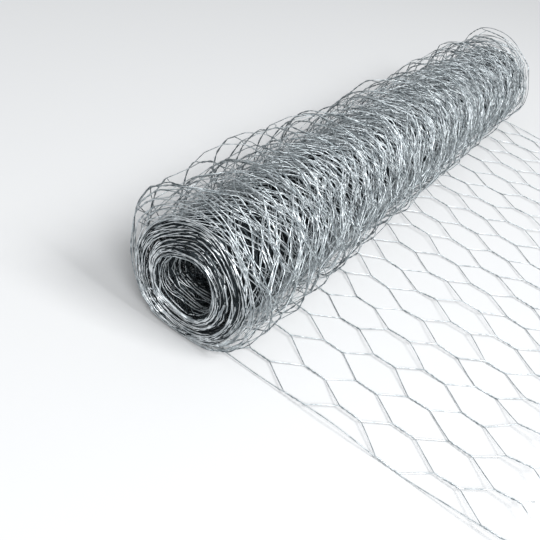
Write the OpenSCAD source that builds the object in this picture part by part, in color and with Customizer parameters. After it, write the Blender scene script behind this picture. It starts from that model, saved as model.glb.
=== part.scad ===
// Roll of hexagonal wire netting (chicken wire), lying on its side with its
// loose end drawn out flat from underneath it.
// The wound part is one solid with the hollow at its middle. Its turns bunch
// together, and the bunches show as rings on both ends. They crowd together on
// one side, because the hollow has sagged off the roll's axis. The loose end is
// a flat lattice of bars, fused to the underside of the roll.
// +X points along the loose end, +Y along the roll, +Z up. The floor is Z = 0.

/* [Netting] */
// Mesh width, from twist to twist across one opening
mesh_w = 50; // [40:1:60]
// Length of the twisted stretch at each side of an opening
twist_len = 27; // [20:1:34]
// Run of a slanting wire, measured along the netting
slant_run = 28.5; // [20:0.5:36]
// Half meshes across the width of the netting
columns = 36; // [12:2:48]
// Width of a single wire
wire_w = 1; // [0.8:0.1:1.6]
// Width of two wires twisted together
twist_w = 2; // [1.6:0.1:3]
// Width of the straight wire along each edge
edge_wire_w = 1.6; // [1:0.1:3]
// Thickness of the netting
netting_t = 2; // [1.6:0.1:3]

/* [Roll] */
// Outer radius over the loose outer turns
roll_r = 78; // [70:1:110]
// Radius of the open middle
bore_r = 27; // [18:1:33]
// How far the open middle lies to the -X side of the roll's axis
bore_side = 8; // [0:1:9]
// How far the open middle lies below the roll's axis
bore_drop = 13; // [0:1:14]
// How far the turns have slid past each other along the roll
turn_slip = 20; // [0:1:30]

/* [Turns on the ends] */
// Number of rings that the bunched turns show as
rings = 31; // [12:1:34]
// Width of the groove between two rings
groove_w = 0.5; // [0.3:0.05:0.6]
// Depth of the groove between two rings
groove_depth = 3; // [1:0.5:6]
// Ring outside which the winding gapes
gap_ring = 17; // [4:1:30]
// Width of the gaping groove
gap_w = 0.9; // [0.6:0.05:1]
// Depth of the gaping groove
gap_depth = 12; // [4:1:20]

/* [Loose end] */
// Reach of the loose end from the roll's axis, along its near edge
tail_reach = 385; // [250:5:600]
// Distance from the roll's axis to where the lattice starts, under the roll
tail_root = 8; // [6:1:14]
// Distance of the first row of twists from the roll's axis, at the near edge
first_row = 66; // [55:0.5:80]
// Distance of the near edge from the near end of the roll
tail_inset = 15; // [2:0.5:18]
// Lag of the far edge behind the near edge, for each unit across
tail_skew = 0.093; // [0:0.001:0.12]
// Drift of the netting towards the near side, for each unit along
tail_drift = 0.044; // [0:0.001:0.06]

/* [Hidden] */
$fn = 96;

// One half mesh, the spacing of the twists across the netting
column_w = mesh_w / 2;
// Spacing of the rows of twists along the netting
row_len = twist_len + slant_run;
netting_w = columns * column_w;
roll_len = netting_w + turn_slip;

// A slanting wire's angle to the length of the netting
slant_angle = atan2(column_w, slant_run);
// Distance from one end of an opening to the other
opening_len = 2 * row_len - twist_len;
// An opening inside its wires: how far its tip is drawn in, its half width,
// and the run of its slanting sides
tip_inset = wire_w / 2 / sin(slant_angle);
opening_half_w = column_w - twist_w / 2;
side_run = opening_half_w / tan(slant_angle);
edge_half_w = edge_wire_w / 2;

// Rows that the lattice needs, from under the roll to the cut end
along_start = tail_root - first_row;
along_end = tail_reach - first_row;
lag = tail_skew * netting_w;
row_lo = floor(along_start / row_len) - 2;
row_hi = ceil((along_end + lag) / row_len);

// A point of the netting, u along it from the first row and v across it from
// the near edge wire, as it lies on the floor
function laid(u, v) = [first_row + u - tail_skew * v, tail_inset - tail_drift * u + v];
// The distance along the netting at which it comes out at the lattice's start
function root_along(v) = along_start + tail_skew * v;

near_v = -edge_half_w;
far_v = netting_w + edge_half_w;
tail_outline = [
    laid(root_along(near_v), near_v),
    laid(along_end, near_v),
    laid(along_end, far_v),
    laid(root_along(far_v), far_v)
];

// The whole part's box
box_x_lo = -roll_r;
box_x_hi = max([for (p = tail_outline) p.x]);
box_y_lo = min(0, min([for (p = tail_outline) p.y]));
box_y_hi = max(roll_len, max([for (p = tail_outline) p.y]));

// Corners of an opening whose tip is at the origin of its own column.
// lower and upper are how far it spreads to each side of the column's line.
function half_side(w, side) =
    [[tip_inset + w / tan(slant_angle), side * w],
     [opening_len - tip_inset - w / tan(slant_angle), side * w]];
function opening_full() =
    let (up = half_side(opening_half_w, 1), down = half_side(opening_half_w, -1))
    [[tip_inset, 0], up[0], up[1], [opening_len - tip_inset, 0], down[1], down[0]];
function opening_half(side) =
    let (wide = half_side(opening_half_w, side), slim = half_side(edge_half_w, side))
    [slim[0], wide[0], wide[1], slim[1]];
function opening(column) =
    column == 0 ? opening_half(1) :
    column == columns ? opening_half(-1) : opening_full();

// A ring-shaped groove around ring i, cut from the face at z = 0 downwards.
// Each ring's centre lies between the open middle's and the roll's.
module ring_groove(i, width, depth) {
    f = i / rings;
    r = bore_r + f * (roll_r - bore_r);
    translate([-bore_side * (1 - f), -bore_drop * (1 - f), -depth])
        difference() {
            cylinder(r = r + width / 2, h = 2 * depth);
            translate([0, 0, -depth])
                cylinder(r = r - width / 2, h = 4 * depth);
        }
}

module ring_grooves() {
    for (i = [1 : rings - 1])
        ring_groove(i, i == gap_ring ? gap_w : groove_w, i == gap_ring ? gap_depth : groove_depth);
}

// The wound part, upright on z = 0, its section as seen from its near end
module wound_turns() {
    difference() {
        cylinder(r = roll_r, h = roll_len);
        translate([-bore_side, -bore_drop, -1])
            cylinder(r = bore_r, h = roll_len + 2);
        translate([0, 0, roll_len]) ring_grooves();
        mirror([0, 0, 1]) ring_grooves();
    }
}

// The wound part, lying along Y on the floor
module lying_turns() {
    translate([0, roll_len, roll_r])
        rotate([90, 0, 0]) wound_turns();
}

// The flat lattice of the loose end
module loose_end() {
    linear_extrude(netting_t)
        difference() {
            polygon(tail_outline);
            for (row = [row_lo : row_hi], column = [0 : columns])
                if ((row + column + 1) % 2 == 0)
                    polygon([for (p = opening(column))
                        laid(row * row_len + twist_len + p.x, column * column_w + p.y)]);
        }
}

module wire_netting() {
    color("lightslategray")
        translate([-(box_x_lo + box_x_hi) / 2, -(box_y_lo + box_y_hi) / 2, 0])
            union() {
                lying_turns();
                loose_end();
            }
}

wire_netting();
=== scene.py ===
"""Roll of galvanised hexagonal wire netting with its loose end drawn out flat.

Every wire is drawn from one cut end of the netting to the other: it zigzags
between its neighbours and is twisted round each of them in turn. The flat
pattern is then wound up, turn on turn, with the slack, bunching and stray
outer turns of a roll that has been handled.
Lengths are in millimetres until a mesh is made.
"""

from __future__ import annotations

import logging
import math
from dataclasses import dataclass, field
from enum import Enum

import bpy
import numpy as np
from mathutils import Matrix, Vector


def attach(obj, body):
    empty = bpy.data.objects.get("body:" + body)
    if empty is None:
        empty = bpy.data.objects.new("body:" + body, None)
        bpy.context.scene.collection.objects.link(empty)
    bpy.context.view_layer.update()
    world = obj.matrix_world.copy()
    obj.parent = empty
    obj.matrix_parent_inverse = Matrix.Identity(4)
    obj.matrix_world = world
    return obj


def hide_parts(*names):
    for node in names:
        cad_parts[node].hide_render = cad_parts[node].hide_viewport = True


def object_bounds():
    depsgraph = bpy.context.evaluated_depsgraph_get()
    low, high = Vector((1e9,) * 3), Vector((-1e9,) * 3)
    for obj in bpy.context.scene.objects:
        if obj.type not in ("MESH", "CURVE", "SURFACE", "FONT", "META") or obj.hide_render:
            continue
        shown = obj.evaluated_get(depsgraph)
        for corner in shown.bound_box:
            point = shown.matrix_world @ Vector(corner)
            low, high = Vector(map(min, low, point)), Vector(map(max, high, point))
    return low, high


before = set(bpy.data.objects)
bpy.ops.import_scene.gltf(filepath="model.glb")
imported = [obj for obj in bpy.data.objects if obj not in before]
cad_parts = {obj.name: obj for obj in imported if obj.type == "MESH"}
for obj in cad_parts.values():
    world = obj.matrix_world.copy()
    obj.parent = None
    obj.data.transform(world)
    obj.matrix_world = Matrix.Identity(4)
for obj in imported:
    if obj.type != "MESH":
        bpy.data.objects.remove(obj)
CAD_LOW, CAD_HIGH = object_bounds()

log = logging.getLogger("wire_netting")
MM = 0.001
FULL_TURN = 2 * math.pi
NODE = "wire_netting"


# ---------------------------------------------------------------- helpers


def smoothstep(low: float, high: float, value: np.ndarray) -> np.ndarray:
    """A smooth rise from 0 at low to 1 at high.

    Args:
        low: Where the rise starts.
        high: Where it ends.
        value: Where it is wanted.

    Returns:
        The share risen, from 0 to 1.
    """
    share = np.clip((value - low) / (high - low), 0.0, 1.0)
    return share * share * (3.0 - 2.0 * share)


def unit(vectors: np.ndarray) -> np.ndarray:
    """Vectors of length one, along the rows given."""
    return vectors / np.maximum(np.linalg.norm(vectors, axis=-1, keepdims=True), 1e-9)


class Waves:
    """A smooth seeded field in two or three coordinates, as a sum of plane waves."""

    def __init__(
        self, rng: np.random.Generator, size: float, shortest: float, longest: float,
        axes: int = 2, count: int = 16,
    ) -> None:
        """Draws the waves.

        Args:
            rng: The seeded source of every random number.
            size: Root mean square height of the field.
            shortest: Shortest wave length.
            longest: Longest wave length.
            axes: Number of coordinates.
            count: Number of waves.
        """
        direction = unit(rng.normal(size=(count, axes)))
        length = rng.uniform(shortest, longest, size=(count, 1))
        self.rate = direction * FULL_TURN / length
        self.phase = rng.uniform(0.0, FULL_TURN, size=count)
        self.size = size * math.sqrt(2.0 / count)

    def at(self, *coordinates: np.ndarray) -> np.ndarray:
        """The field's height at each point.

        Args:
            *coordinates: One array for each axis, all of one shape.

        Returns:
            An array of that shape.
        """
        total = np.zeros(np.shape(coordinates[0]))
        for rate, phase in zip(self.rate, self.phase):
            total += np.sin(sum(k * c for k, c in zip(rate, coordinates)) + phase)
        return self.size * total


# ---------------------------------------------------------------- netting


@dataclass(frozen=True)
class Netting:
    """The flat netting: 50 mm hexagonal mesh of 1 mm wire, 0.9 m wide."""

    mesh_w: float = 50.0
    twist_len: float = 27.0
    slant_run: float = 28.5
    columns: int = 36
    wire_d: float = 1.0
    edge_wire_d: float = 1.15
    turns_per_twist: float = 2.0

    @property
    def column_w(self) -> float:
        """Spacing of the twists across the netting."""
        return self.mesh_w / 2

    @property
    def row_len(self) -> float:
        """Spacing of the rows of twists along the netting."""
        return self.twist_len + self.slant_run

    @property
    def width(self) -> float:
        """Width from edge wire to edge wire."""
        return self.columns * self.column_w


class Strand(Enum):
    """What a wire does in the netting."""

    MESH = "zigzags between two columns of twists"
    NEAR_EDGE = "runs straight along the near edge"
    FAR_EDGE = "runs straight along the far edge"


@dataclass(frozen=True)
class Fineness:
    """How finely a stretch of wire is drawn."""

    sides: int
    twist_rings: int
    slant_rings: int


class Detail(Enum):
    """The finenesses in use, from what lies open to view to what is buried."""

    OPEN = Fineness(sides=6, twist_rings=24, slant_rings=5)
    SURFACE = Fineness(sides=5, twist_rings=16, slant_rings=3)
    COVERED = Fineness(sides=4, twist_rings=11, slant_rings=2)
    EDGE = Fineness(sides=5, twist_rings=9, slant_rings=2)
    RIM = Fineness(sides=3, twist_rings=8, slant_rings=2)
    BURIED = Fineness(sides=3, twist_rings=4, slant_rings=1)
    CORE = Fineness(sides=3, twist_rings=2, slant_rings=1)


# ---------------------------------------------------------------- winding


@dataclass
class Winding:
    """Where each point of the flat netting lies once it is wound up.

    The roll lies along Y with its near end at Y = 0 and the floor at Z = 0.
    The loose end leaves it at the bottom, towards +X.
    """

    netting: Netting
    rng: np.random.Generator
    outer_r: float = 73.4
    inner_r: float = 27.0
    turns: float = 77.0
    middle_side: float = -7.2
    middle_drop: float = -11.0
    taper: float = 0.0100
    first_row: float = 66.0
    tail_inset: float = 15.0
    tail_skew: float = 0.093
    tail_drift: float = 0.044
    tail_reach: float = 385.0
    clear_bore_r: float = 28.2
    clear_bore_side: float = -8.0
    clear_bore_z: float = 65.0
    gap_at: float = 0.55
    gap_half: float = 2.2
    stands_off: tuple[tuple[float, float], ...] = (
        (0.10, 0.0), (0.20, 6.0), (0.28, 13.0), (0.34, 28.0), (0.385, 34.0), (0.43, 32.0), (0.50, 22.0),
        (0.58, 8.0), (0.66, 4.0), (0.73, 10.0), (0.79, 14.0), (0.86, 12.0), (0.93, 5.0), (0.985, 0.0),
    )
    slack_turns: float = 7.5
    slack_falls: float = 1.3
    funnel_from: float = 0.84
    funnel_depth: float = 42.0
    bunch_turns: float = 5.6
    bunch_share: float = 0.30
    bunch_crossing: float = 0.08
    crossing_depth: float = 5.0
    sag_from: float = 160.0
    sag_room: float = 8.0
    waves: dict[str, Waves] = field(default_factory=dict)

    def __post_init__(self) -> None:
        """Draws the fields that make the winding uneven."""
        rng = self.rng
        self.waves = {
            "nest": Waves(rng, 1.3, 55.0, 150.0, axes=3),
            "bunch": Waves(rng, 0.14, 90.0, 200.0, axes=3),
            "own": Waves(rng, 0.6, 60.0, 160.0),
            "along": Waves(rng, 4.5, 70.0, 200.0),
            "across": Waves(rng, 4.5, 70.0, 200.0),
            "edge": Waves(rng, 1.2, 75.0, 170.0, axes=3),
            "slack": Waves(rng, 0.16, 120.0, 330.0),
            "shift": Waves(rng, 0.018, 90.0, 300.0),
            "floor": Waves(rng, 0.5, 110.0, 260.0),
        }

    @property
    def pitch(self) -> float:
        """Growth of the radius with each turn."""
        return (self.outer_r - self.inner_r) / self.turns

    @property
    def wound_len(self) -> float:
        """Length of netting in the roll."""
        return math.pi * (self.outer_r + self.inner_r) * self.turns

    def angle(self, wound: np.ndarray) -> np.ndarray:
        """Angle wound from the bottom of the roll.

        Args:
            wound: Length wound, negative on the loose end.

        Returns:
            The angle in radians, 0 on the loose end.
        """
        rest = self.outer_r**2 - np.maximum(wound, 0.0) * self.pitch / math.pi
        return FULL_TURN / self.pitch * (self.outer_r - np.sqrt(np.maximum(rest, 1.0)))

    def wound(self, along: np.ndarray, across: np.ndarray) -> np.ndarray:
        """Length wound at a point of the netting, negative on the loose end."""
        return -(self.first_row + along - self.tail_skew * across)

    def row_of_turn(self, turn: float) -> int:
        """The row of twists on the edges where a turn is complete.

        Args:
            turn: The turn, counted inwards.

        Returns:
            The row's number, which is odd because the edge wires are twisted in odd rows only.
        """
        radius = self.outer_r - self.pitch * turn
        length = math.pi * (self.outer_r + radius) * turn
        return 2 * math.floor(-(length + self.first_row) / self.netting.row_len / 2) + 1

    def flattening(self, along: np.ndarray, across: np.ndarray, length: float) -> np.ndarray:
        """How far the middle of a stretch of wire cuts inside the curve of its turn.

        Args:
            along: Where the stretch starts, along the netting.
            across: The same, across it.
            length: Length of the stretch.

        Returns:
            The distance inside the curve, 0 on the loose end.
        """
        wound = self.wound(along, across)
        radius = self.outer_r - self.pitch * self.angle(wound) / FULL_TURN
        stiff = 0.8 * np.clip((radius - 15.0) / 50.0, 0.2, 1.0)
        return np.where(wound > 0.0, stiff * length**2 / (8.0 * radius), 0.0)

    def slack_at(self, turn: np.ndarray, across: np.ndarray) -> np.ndarray:
        """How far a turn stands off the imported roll, which only the slack outer ones do.

        Args:
            turn: The turn, counted inwards, with its part wound.
            across: Distance across the netting from the near edge wire.

        Returns:
            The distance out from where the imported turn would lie.
        """
        part = turn - np.floor(turn)
        part = part + self.waves["shift"].at(np.floor(turn) * 170.0, across) * np.sin(math.pi * part)
        where, reach = np.array(self.stands_off).T
        share = np.clip(1.0 - np.floor(turn) / self.slack_turns, 0.0, 1.0) ** self.slack_falls
        sway = 1.0 - 0.25 * smoothstep(150.0, 420.0, across) + self.waves["slack"].at(turn * 300.0, across)
        return np.interp(part, where, reach) * share * sway

    def gathered(self, beat: np.ndarray) -> np.ndarray:
        """Draws the turns of each bunch together to its middle.

        Args:
            beat: The turn counted in bunches.

        Returns:
            The same, drawn together: each bunch is a thin band, and a wire crosses from one to the next.
        """
        crossing, half = self.bunch_crossing / 2, self.bunch_share / 2
        steps = [0.0, crossing, 1.0 - crossing, 1.0]
        return np.floor(beat) + np.interp(beat - np.floor(beat), steps, [0.0, 0.5 - half, 0.5 + half, 1.0])

    def place(
        self, along: np.ndarray, across: np.ndarray, lift: np.ndarray
    ) -> tuple[np.ndarray, np.ndarray]:
        """Puts points of the netting where they lie.

        Args:
            along: Distance along the netting from the first row, towards the loose end.
            across: Distance across it from the near edge wire.
            lift: Distance out from the netting's face, away from the roll's middle.

        Returns:
            The points, and at each the direction out of the netting's face.
        """
        wound = self.wound(along, across)
        rolled = smoothstep(0.0, 160.0, wound)
        drift = np.where(rolled > 0.0, rolled, 0.0)
        wound = wound + drift * self.waves["along"].at(wound, across)
        angle = self.angle(wound)
        theta = -math.pi / 2 - angle
        turn = angle / FULL_TURN
        share = 1.0 - turn / self.turns
        cos, sin = np.cos(theta), np.sin(theta)

        within = np.clip(np.minimum(across, self.netting.width - across) / 70.0, 0.12, 1.0)
        inside = (within - 0.12) / 0.88
        spot = (70.0 * cos, across, 70.0 * sin + 40.0 * share)
        beat = turn / self.bunch_turns + self.waves["bunch"].at(*spot)
        bunch = self.gathered(beat)
        share = share - drift * (1.0 - inside) * (bunch - beat) * self.bunch_turns / self.turns
        spot = (70.0 * cos, across, 70.0 * sin + 40.0 * share)
        radius = self.inner_r + share * (self.outer_r - self.inner_r)
        middle = 2.5 * np.cos(2 * (theta + 0.26)) + 2.8 * np.cos(3 * (theta + 0.85))
        radius = radius + middle * np.maximum(1.0 - share, 0.0) ** 1.5
        off_gap = share - self.gap_at
        radius = radius + self.gap_half * np.sign(off_gap) * np.exp(-np.abs(off_gap) / 0.12)
        radius = radius + drift * self.waves["nest"].at(*spot)
        radius = radius + drift * inside * self.waves["own"].at(wound, across)
        outer_r = self.outer_r - self.taper * across
        radius = radius * outer_r / self.outer_r + self.slack_at(turn, across)
        radius = radius + lift

        centre_x = self.middle_side * (1.0 - share)
        centre_z = outer_r + 0.7 + self.middle_drop * (1.0 - share)
        x = centre_x + radius * cos
        z = centre_z + radius * sin
        x, z = self.keep_bore_clear(x, z)

        inset = self.tail_inset * (1.0 - smoothstep(0.0, 2.5, turn))
        edge = drift * self.waves["edge"].at(60.0 * cos, 60.0 * sin, 60.0 * bunch)
        sunk = self.crossing_depth * np.exp(-(((beat - np.round(beat)) / 0.06) ** 2))
        deep = np.clip((turn / self.turns - self.funnel_from) / (1.0 - self.funnel_from), 0.0, 1.0)
        sunk = sunk + self.funnel_depth * deep
        edge = edge + drift * sunk * (1.0 - 2.0 * across / self.netting.width)
        y = across + inset + edge + drift * inside * self.waves["across"].at(wound, across)

        flat = wound <= 0.0
        bow = 2.2 + 1.6 * self.waves["floor"].at(along, across) * 2.0
        curl = 9.0 * smoothstep(230.0, 330.0, along) ** 2
        height = 0.7 + smoothstep(0.0, 60.0, -wound) * np.maximum(bow, 0.4) + curl
        x = np.where(flat, -wound, x)
        y = np.where(flat, across + self.tail_inset - self.tail_drift * along, y)
        z = np.where(flat, height - lift, z)
        over = np.maximum(z - self.sag_from, 0.0)
        z = np.maximum(z - over + self.sag_room * np.tanh(over / self.sag_room), 0.6)
        out = np.stack([np.where(flat, 0.0, cos), np.zeros_like(cos), np.where(flat, -1.0, sin)], axis=-1)
        return np.stack([x, y, z], axis=-1), out

    def keep_bore_clear(self, x: np.ndarray, z: np.ndarray) -> tuple[np.ndarray, np.ndarray]:
        """Pushes points out of the open middle.

        Args:
            x: Where the points lie across the roll.
            z: Their heights.

        Returns:
            The two, changed where a point was inside.
        """
        side, rise = x - self.clear_bore_side, z - self.clear_bore_z
        reach = np.hypot(side, rise)
        push = np.where(reach < self.clear_bore_r, self.clear_bore_r / np.maximum(reach, 1.0), 1.0)
        return self.clear_bore_side + side * push, self.clear_bore_z + rise * push


# ---------------------------------------------------------------- wires


@dataclass
class WireMesh:
    """Gathers closed wires of one fineness into the arrays of a single mesh."""

    points: list[np.ndarray] = field(default_factory=list)
    quads: list[np.ndarray] = field(default_factory=list)
    caps: list[np.ndarray] = field(default_factory=list)
    count: int = 0

    def add_wire(self, line: np.ndarray, out: np.ndarray, radius: float, sides: int) -> None:
        """Adds one wire as a closed tube.

        Args:
            line: Points along the wire's middle.
            out: A direction at each that isn't along the wire.
            radius: The wire's radius.
            sides: Sides of its section.
        """
        run = unit(np.gradient(line, axis=0))
        up = unit(out - (out * run).sum(axis=1, keepdims=True) * run)
        side = np.cross(run, up)
        spin = np.arange(sides) * FULL_TURN / sides
        ring = up[:, None, :] * np.cos(spin)[None, :, None] + side[:, None, :] * np.sin(spin)[None, :, None]
        self.points.append((line[:, None, :] + radius * ring).reshape(-1, 3))

        rings = len(line)
        start = self.count + np.arange(rings - 1)[:, None] * sides
        here, after = np.arange(sides)[None, :], (np.arange(sides)[None, :] + 1) % sides
        quad = np.stack([start + here, start + after, start + sides + after, start + sides + here], axis=-1)
        self.quads.append(quad.reshape(-1, 4)[:, ::-1])
        first = self.count + np.arange(sides)
        last = first + (rings - 1) * sides
        self.caps.append(np.stack([first, last[::-1]]))
        self.count += rings * sides

    def build(self, name: str, shift: np.ndarray) -> bpy.types.Object:
        """Makes the object.

        Args:
            name: Its name.
            shift: What takes the roll's own frame to the part's, in millimetres.

        Returns:
            The object, linked to the scene, in metres.
        """
        points = (np.concatenate(self.points) + shift) * MM
        quads = np.concatenate(self.quads)
        caps = [cap for pair in self.caps for cap in pair]
        corners = np.concatenate([quads.ravel(), *caps])
        sizes = np.concatenate([np.full(len(quads), 4), [len(cap) for cap in caps]])
        starts = np.concatenate([[0], np.cumsum(sizes)[:-1]])
        mesh = bpy.data.meshes.new(name)
        mesh.vertices.add(len(points))
        mesh.vertices.foreach_set("co", points.astype(np.float32).ravel())
        mesh.loops.add(len(corners))
        mesh.loops.foreach_set("vertex_index", corners.astype(np.int32))
        mesh.polygons.add(len(sizes))
        mesh.polygons.foreach_set("loop_start", starts.astype(np.int32))
        mesh.update(calc_edges=True)
        mesh.polygons.foreach_set("use_smooth", np.ones(len(sizes), dtype=bool))
        mesh.validate()
        piece = bpy.data.objects.new(name, mesh)
        bpy.context.scene.collection.objects.link(piece)
        return piece


class Finish(Enum):
    """The states of the zinc, by where the wire has been, and two that are painted light: a painted
    highlight on the front edge wires and painted shade between packed turns.
    """

    BRIGHT = "wherever the wire is none of the others"
    WEATHERED = "on the outermost turns"
    # Painted highlight: the front edge wires of each bunch, lightened as if lit.
    PAINTED_HIGHLIGHT = "on the edge wires, which are handled"
    # Painted shade: wires deep between packed turns and behind the front edges, darkened where shade falls.
    PAINTED_SHADE = "between packed turns"


@dataclass(frozen=True)
class Stretch:
    """A stretch of the netting that is drawn as one piece."""

    name: str
    spans: tuple[tuple[int, int], ...]
    wire_from: int
    wire_to: int
    detail: Detail
    finish: Finish = Finish.BRIGHT


@dataclass
class WoundNetting:
    """The whole netting, wire by wire."""

    netting: Netting
    winding: Winding
    rng: np.random.Generator
    row_lo: int = 0
    row_hi: int = 7
    stray_along: float = 1.3
    stray_across: float = 1.5
    stray_lift: float = 0.45
    loose_stray: tuple[float, float, float] = (1.2, 1.3, 1.9)
    funnel_turn: float = 64.0
    front_share: float = 0.5
    knots: np.ndarray = field(default_factory=lambda: np.zeros(0))

    def __post_init__(self) -> None:
        """Draws how far each end of each twist has strayed from the pattern."""
        net = self.netting
        self.row_lo = self.winding.row_of_turn(self.winding.turns) + 2
        rows = self.row_hi - self.row_lo + 1
        strays = self.rng.normal(size=(net.columns + 1, rows, 2, 3))
        strays *= [self.stray_along, self.stray_across, self.stray_lift]
        strays[:, :, 1] = 0.55 * strays[:, :, 0] + 0.83 * strays[:, :, 1]
        turn_three = self.winding.row_of_turn(3.0) - self.row_lo
        turn_six = self.winding.row_of_turn(6.0) - self.row_lo
        turn_zero = self.winding.row_of_turn(0.0) - self.row_lo
        strays[:, turn_six:turn_zero] *= self.loose_stray
        strays[:, turn_three:turn_zero] *= self.loose_stray
        strays[:, turn_zero:, :, :2] *= 0.6
        strays[:, turn_zero:, :, 2] *= 0.3
        strays[[0, -1], :, :, 1:] *= 0.12
        self.knots = strays

    def knot_rows(self, strand: Strand, row_from: int, row_to: int) -> np.ndarray:
        """Rows in which a wire has a twist.

        Args:
            strand: What the wire does.
            row_from: First row of the stretch.
            row_to: Row at whose first twist the stretch ends, which is included.

        Returns:
            The rows' numbers.
        """
        rows = np.arange(row_from, row_to + 1)
        if strand is Strand.MESH:
            return rows
        column = 0 if strand is Strand.NEAR_EDGE else self.netting.columns
        return rows[(rows + column) % 2 == 1]

    def centreline(
        self, strand: Strand, wire: int, row_from: int, row_to: int, fine: Fineness
    ) -> tuple[np.ndarray, np.ndarray]:
        """The middle of a wire from one row of twists to another.

        Args:
            strand: What the wire does.
            wire: Its number, from 1 at the near edge.
            row_from: Row it starts in.
            row_to: Row at whose first twist it ends.
            fine: How finely it is drawn.

        Returns:
            Its points where they lie, and at each the direction out of the netting.
        """
        net = self.netting
        rows = self.knot_rows(strand, row_from, row_to)
        if strand is Strand.MESH:
            column = np.where((rows + wire) % 2 == 1, wire, wire - 1)
            side = np.where(column == wire, -1.0, 1.0)
        else:
            column = np.full(len(rows), 0 if strand is Strand.NEAR_EDGE else net.columns)
            side = np.full(len(rows), -1.0 if strand is Strand.NEAR_EDGE else 1.0)
        stray = self.knots[column, rows - self.row_lo]
        start = np.stack([rows * net.row_len, column * net.column_w, np.zeros(len(rows))], axis=-1)
        end = start + [net.twist_len, 0.0, 0.0] + stray[:, 1]
        start = start + stray[:, 0]
        coil_r = 0.52 * net.wire_d

        part = (np.arange(fine.twist_rings) / fine.twist_rings)[None, :, None]
        twist = start[:-1, None] + (end - start)[:-1, None] * part
        phase = FULL_TURN * net.turns_per_twist * part[..., 0]
        twist[..., 1] += side[:-1, None] * coil_r * np.cos(phase)
        twist[..., 2] += side[:-1, None] * coil_r * np.sin(phase)
        inside = self.winding.flattening(start[:-1, 0], start[:-1, 1], net.twist_len)
        twist[..., 2] -= inside[:, None] * 4.0 * part[..., 0] * (1.0 - part[..., 0])

        slant_rings = fine.slant_rings * (1 if strand is Strand.MESH else 4)
        part = (np.arange(slant_rings) / slant_rings)[None, :, None]
        leave, reach = end.copy(), start.copy()
        leave[:, 1] += side * coil_r
        reach[:, 1] += side * coil_r
        slant = leave[:-1, None] + (reach[1:, None] - leave[:-1, None]) * part
        run = np.abs(reach[1:, 0] - leave[:-1, 0]).mean()
        inside = self.winding.flattening(leave[:-1, 0], leave[:-1, 1], min(run, 45.0))
        slant[..., 2] -= inside[:, None] * 4.0 * part[..., 0] * (1.0 - part[..., 0])

        points = np.concatenate([twist, slant], axis=1).reshape(-1, 3)
        if row_to < self.row_hi:
            points = np.concatenate([points, reach[-1:]])
        else:
            cut = self.winding.tail_reach - self.winding.first_row
            points = points[points[:, 0] < cut]
        return self.winding.place(points[:, 0], points[:, 1], points[:, 2])

    def build(self, stretch: Stretch, shift: np.ndarray) -> bpy.types.Object:
        """Makes one stretch of the netting.

        Args:
            stretch: Which rows and wires, and how finely.
            shift: What takes the roll's own frame to the part's.

        Returns:
            The piece.
        """
        net, fine = self.netting, stretch.detail.value
        mesh = WireMesh()
        for wire in range(stretch.wire_from, stretch.wire_to + 1):
            if wire == 0:
                strand, radius = Strand.NEAR_EDGE, net.edge_wire_d / 2
            elif wire == net.columns + 1:
                strand, radius = Strand.FAR_EDGE, net.edge_wire_d / 2
            else:
                strand, radius = Strand.MESH, net.wire_d / 2
            for row_from, row_to in stretch.spans:
                line, out = self.centreline(strand, wire, row_from, row_to, fine)
                mesh.add_wire(line, out, radius, fine.sides)
        return mesh.build(stretch.name, shift)

    def stretches(self) -> list[Stretch]:
        """Shares the netting out into pieces, finer where it lies open to view."""
        row, bunch = self.winding.row_of_turn, self.winding.bunch_turns
        last = self.netting.columns + 1
        tail, loose, under, outer, covered, buried, middle = (
            row(turn) for turn in (-0.02, 3.0, 6.0, 12.0, 17.0, 28.0, 66.0)
        )
        starts = [6.0 + bunch * i for i in range(int((self.funnel_turn - 6.0) / bunch))]
        front = bunch * self.front_share
        shown = [(row(turn + front), row(turn)) for turn in starts]
        behind = [(row(turn + bunch), row(turn + front)) for turn in starts]
        funnel = behind[-1][0]
        first, inner = 4, last - 4
        return [
            Stretch("loose_end", ((tail, self.row_hi),), 0, last, Detail.OPEN),
            Stretch("loosest_turns", ((loose, tail),), 0, last, Detail.SURFACE, Finish.WEATHERED),
            Stretch("loose_turns", ((under, loose),), 0, last, Detail.COVERED),
            # The front turns of each bunch: their edge wires carry a painted highlight.
            Stretch("near_edge_turns", tuple(shown), 0, 0, Detail.EDGE, Finish.PAINTED_HIGHLIGHT),
            Stretch("far_edge_turns", tuple(shown), last, last, Detail.EDGE, Finish.PAINTED_HIGHLIGHT),
            Stretch("near_funnel_turns", ((self.row_lo, funnel),), 0, 0, Detail.EDGE),
            Stretch("far_funnel_turns", ((self.row_lo, funnel),), last, last, Detail.EDGE),
            # Edge wires of the turns behind each bunch's front carry painted shade.
            Stretch("near_edge_packed_turns", tuple(behind), 0, 0, Detail.RIM, Finish.PAINTED_SHADE),
            Stretch("far_edge_packed_turns", tuple(behind), last, last, Detail.RIM, Finish.PAINTED_SHADE),
            Stretch("near_end_turns", ((covered, under),), 1, 3, Detail.RIM),
            Stretch("far_end_turns", ((covered, under),), last - 3, last - 1, Detail.RIM),
            # The packed end turns, the bore turns and the core turns carry painted shade: the dark finish
            # stands for the shade deep between turns.
            Stretch("near_packed_turns", ((middle, covered),), 1, 3, Detail.RIM, Finish.PAINTED_SHADE),
            Stretch(
                "far_packed_turns", ((middle, covered),), last - 3, last - 1, Detail.RIM, Finish.PAINTED_SHADE
            ),
            Stretch("bore_turns", ((self.row_lo, middle),), 1, last - 1, Detail.BURIED, Finish.PAINTED_SHADE),
            Stretch("outer_turns", ((outer, under),), first, inner, Detail.COVERED),
            Stretch("buried_turns", ((buried, outer),), first, inner, Detail.BURIED),
            # Painted shade on the core turns.
            Stretch("core_turns", ((middle, buried),), first, inner, Detail.CORE, Finish.PAINTED_SHADE),
        ]


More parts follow.
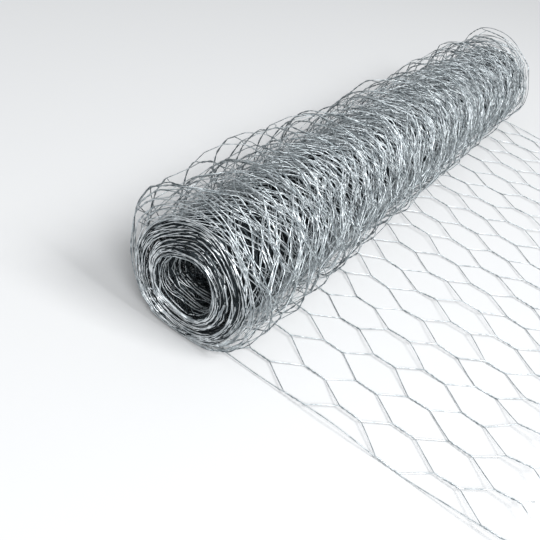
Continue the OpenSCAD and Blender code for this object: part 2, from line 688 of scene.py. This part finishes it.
# ---------------------------------------------------------------- finishes


def linear(colour: str) -> tuple[float, float, float, float]:
    """Turns an sRGB hex colour to linear RGBA."""
    parts = [int(colour[i : i + 2], 16) / 255 for i in (1, 3, 5)]
    return (*[c / 12.92 if c <= 0.04045 else ((c + 0.055) / 1.055) ** 2.4 for c in parts], 1.0)


def add_node(
    tree: bpy.types.NodeTree, kind: str, settings: dict | None = None, links: dict | None = None
) -> bpy.types.Node:
    """Adds a node to a material.

    Args:
        tree: The material's node tree.
        kind: The node's type name.
        settings: Values for its properties or, by name or number, its inputs.
        links: For an input's name or number, the output socket that feeds it.

    Returns:
        The node.
    """
    node = tree.nodes.new(kind)
    for key, value in (settings or {}).items():
        if isinstance(key, str) and hasattr(node, key):
            setattr(node, key, value)
        else:
            node.inputs[key].default_value = value
    for key, socket in (links or {}).items():
        tree.links.new(socket, node.inputs[key])
    return node


@dataclass(frozen=True)
class GalvanisedWire:
    """Drawn mild steel wire, hot dipped in zinc.

    The zinc is a bright cool grey with a soft sheen; where it has weathered it
    turns duller and darker in small clouds, and the dip leaves faint runs.
    """

    name: str = "galvanised_steel_wire"
    bright: str = "#D6DCDF"
    dull: str = "#8E969A"
    smooth: float = 0.42
    rough: float = 0.58
    cloud_mm: float = 9.0
    run_mm: float = 1.6
    run_depth_mm: float = 0.05

    def make(self) -> bpy.types.Material:
        """Makes the material.

        Returns:
            It, with its nodes.
        """
        material = bpy.data.materials.new(self.name)
        material.use_nodes = True
        tree = material.node_tree
        tree.nodes.clear()
        where = add_node(tree, "ShaderNodeTexCoord").outputs["Object"]
        cloud = add_node(
            tree, "ShaderNodeTexNoise",
            {"Scale": 1.0 / (self.cloud_mm * MM), "Detail": 3.0, "Roughness": 0.6}, {"Vector": where},
        )
        tone = add_node(tree, "ShaderNodeValToRGB", links={"Fac": cloud.outputs["Fac"]})
        tone.color_ramp.elements[0].position = 0.36
        tone.color_ramp.elements[0].color = linear(self.dull)
        tone.color_ramp.elements[1].position = 0.60
        tone.color_ramp.elements[1].color = linear(self.bright)
        gloss = add_node(
            tree, "ShaderNodeMapRange",
            {"From Min": 0.3, "From Max": 0.7, "To Min": self.rough, "To Max": self.smooth},
            {"Value": cloud.outputs["Fac"]},
        )
        runs = add_node(
            tree, "ShaderNodeTexNoise",
            {"Scale": 1.0 / (self.run_mm * MM), "Detail": 2.0}, {"Vector": where},
        )
        bump = add_node(
            tree, "ShaderNodeBump", {"Strength": 0.35, "Distance": self.run_depth_mm * MM},
            {"Height": runs.outputs["Fac"]},
        )
        shader = add_node(
            tree, "ShaderNodeBsdfPrincipled", {"Metallic": 1.0},
            {"Base Color": tone.outputs["Color"], "Roughness": gloss.outputs["Result"],
             "Normal": bump.outputs["Normal"]},
        )
        add_node(tree, "ShaderNodeOutputMaterial", links={"Surface": shader.outputs["BSDF"]})
        return material


@dataclass(frozen=True)
class PaintedShadeWire(GalvanisedWire):
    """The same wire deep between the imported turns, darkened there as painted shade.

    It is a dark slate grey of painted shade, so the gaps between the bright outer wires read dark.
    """

    name: str = "galvanised_wire_painted_shade"
    bright: str = "#4C5458"
    dull: str = "#222629"
    smooth: float = 0.34
    rough: float = 0.55


@dataclass(frozen=True)
class WeatheredWire(GalvanisedWire):
    """The same wire on the outermost turns, where the zinc has dulled to a middle grey."""

    name: str = "weathered_galvanised_wire"
    bright: str = "#BCC3C6"
    dull: str = "#6A7276"


@dataclass(frozen=True)
class PaintedHighlightWire(GalvanisedWire):
    """The same wire on the front edge wires of each bunch, lightened to pale silver as a painted highlight,
    with a crisper gloss.
    """

    name: str = "galvanised_wire_painted_highlight"
    bright: str = "#E6EAEC"
    dull: str = "#A9B0B4"
    smooth: float = 0.34
    rough: float = 0.50


@dataclass(frozen=True)
class PaleFloor:
    """A matt painted studio floor, almost white."""

    colour: str = "#BCBDBE"
    roughness: float = 0.7

    def make(self) -> bpy.types.Material:
        """Makes the material."""
        material = bpy.data.materials.new("matt_white_paint")
        material.use_nodes = True
        shader = material.node_tree.nodes["Principled BSDF"]
        shader.inputs["Base Color"].default_value = linear(self.colour)
        shader.inputs["Roughness"].default_value = self.roughness
        shader.inputs["Specular IOR Level"].default_value = 0.2
        return material


# ---------------------------------------------------------------- studio


@dataclass
class Studio:
    """The floor, the light and the camera."""

    shift: np.ndarray
    floor_half: float = 6000.0
    lens: float = 53.03
    azimuth: float = 23.338
    elevation: float = 36.094
    roll: float = 16.449
    camera_at: tuple[float, float, float] = (307.32, -533.01, 560.43)

    def place(self, point: tuple[float, float, float]) -> Vector:
        """Takes a point from the roll's frame, in millimetres, to the scene's."""
        return Vector(((np.array(point) + self.shift) * MM).tolist())

    def add_floor(self) -> bpy.types.Object:
        """Lays the floor."""
        half = self.floor_half * MM
        mesh = bpy.data.meshes.new("studio_floor")
        corners = [(-half, -half, 0.0), (half, -half, 0.0), (half, half, 0.0), (-half, half, 0.0)]
        mesh.from_pydata(corners, [], [(0, 1, 2, 3)])
        floor = bpy.data.objects.new("studio_floor", mesh)
        floor.data.materials.append(PaleFloor().make())
        bpy.context.scene.collection.objects.link(floor)
        return floor

    def add_soft_light(
        self, name: str, at: tuple[float, float, float], aim: tuple[float, float, float],
        size: float, power: float,
    ) -> None:
        """Hangs one square soft light.

        Args:
            name: Its name.
            at: Where it hangs, in the roll's frame.
            aim: What it points at.
            size: Its side in millimetres.
            power: Its power in watts.
        """
        light = bpy.data.lights.new(name, "AREA")
        light.size = size * MM
        light.energy = power
        lamp = bpy.data.objects.new(name, light)
        lamp.location = self.place(at)
        lamp.rotation_euler = (self.place(aim) - lamp.location).to_track_quat("-Z", "Y").to_euler()
        bpy.context.scene.collection.objects.link(lamp)

    def add_light(self) -> None:
        """Sets a broad key, a softer fill, and a pale surround that is brightest overhead."""
        self.add_soft_light("key", (2700, 450, 2850), (0, 300, 50), 1500, 165)
        self.add_soft_light("fill", (1800, -2150, 2700), (0, 100, 50), 1800, 150)
        world = bpy.data.worlds.new("pale_surround")
        world.use_nodes = True
        tree = world.node_tree
        sky = tree.nodes["Background"]
        sky.inputs["Color"].default_value = linear("#F0F2F4")
        way = add_node(tree, "ShaderNodeTexCoord").outputs["Generated"]
        rise = add_node(tree, "ShaderNodeSeparateXYZ", links={0: way}).outputs["Z"]
        bowl = add_node(tree, "ShaderNodeMath", {"operation": "MULTIPLY"}, {0: rise, 1: rise}).outputs[0]
        level = add_node(
            tree, "ShaderNodeMapRange", {"From Max": 1.0, "To Min": 0.45, "To Max": 0.75}, {"Value": bowl}
        )
        tree.links.new(level.outputs["Result"], sky.inputs["Strength"])
        bpy.context.scene.world = world

    def add_camera(self) -> None:
        """Sets the camera: looking down along the roll from its near end, tipped to one side."""
        turn, rise, tip = (math.radians(v) for v in (self.azimuth, self.elevation, self.roll))
        ahead = Vector((-math.sin(turn) * math.cos(rise), math.cos(turn) * math.cos(rise), -math.sin(rise)))
        level = ahead.cross(Vector((0, 0, 1))).normalized()
        upright = level.cross(ahead)
        right = level * math.cos(tip) + upright * math.sin(tip)
        up = upright * math.cos(tip) - level * math.sin(tip)
        data = bpy.data.cameras.new("camera")
        data.lens = self.lens
        data.clip_start, data.clip_end = 0.01, 50.0
        camera = bpy.data.objects.new("camera", data)
        turned = Matrix((right, up, -ahead)).transposed().to_4x4()
        camera.matrix_world = Matrix.Translation(self.place(self.camera_at)) @ turned
        bpy.context.scene.collection.objects.link(camera)
        bpy.context.scene.camera = camera


def main() -> None:
    """Builds the netting, dresses it and sets the studio round it."""
    logging.basicConfig(level=logging.INFO, format="%(name)s: %(message)s")
    roll_outer_r = 78.0
    shift = np.array([CAD_LOW.x / MM + roll_outer_r, CAD_LOW.y / MM, 0.0])
    netting = Netting()
    winding = Winding(netting, np.random.default_rng(7))
    wound = WoundNetting(netting, winding, np.random.default_rng(11))
    finishes = {
        Finish.BRIGHT: GalvanisedWire().make(),
        Finish.WEATHERED: WeatheredWire().make(),
        Finish.PAINTED_HIGHLIGHT: PaintedHighlightWire().make(),
        Finish.PAINTED_SHADE: PaintedShadeWire().make(),
    }
    total = 0
    for stretch in wound.stretches():
        piece = wound.build(stretch, shift)
        piece.data.materials.append(finishes[stretch.finish])
        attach(piece, "root")
        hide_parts(NODE)
        triangles = sum(len(p.vertices) - 2 for p in piece.data.polygons)
        total += triangles
        log.info("%s: %d triangles", stretch.name, triangles)
    log.info("all wires: %d triangles, %.1f m wound", total, winding.wound_len * MM)
    studio = Studio(shift)
    studio.add_floor()
    studio.add_light()
    studio.add_camera()
    bpy.context.scene.view_settings.view_transform = "Standard"


if __name__ == "__main__":
    main()
